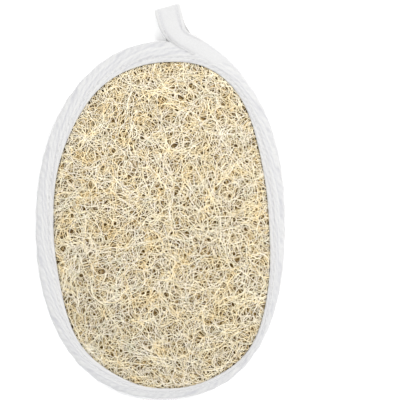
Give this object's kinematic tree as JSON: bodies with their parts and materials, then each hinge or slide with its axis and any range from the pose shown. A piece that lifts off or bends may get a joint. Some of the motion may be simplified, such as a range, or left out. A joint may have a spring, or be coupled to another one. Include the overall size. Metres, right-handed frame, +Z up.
{
  "type": "oval loofah bath pad",
  "caption": "Oval scrubbing pad: natural loofah fibre mat on a terry cloth back, bound in cotton tape, with a hanging loop and an elastic hand strap",
  "frame": {"origin": "on the surface that the pad rests on, under the middle of its bounding box, hanging loop included", "axes": "+X is the pad's width, to the picture's right; +Y is its length, towards the hanging loop; +Z is up, out of the loofah face"},
  "size_m": [0.1248, 0.197, 0.0208],
  "materials": {
    "loofah": "dry natural loofah fibre, straw coloured, matte",
    "terry": "white cotton terry loops, matte",
    "cotton_tape": "white cotton twill tape, matte",
    "elastic": "white ribbed woven elastic, slight sheen"
  },
  "bodies": {
    "root": {"loofah_mat": "loofah", "terry_backing": "terry", "edge_binding": "cotton_tape", "hanging_loop": "cotton_tape", "hand_strap": "elastic"}
  },
  "joints": []
}
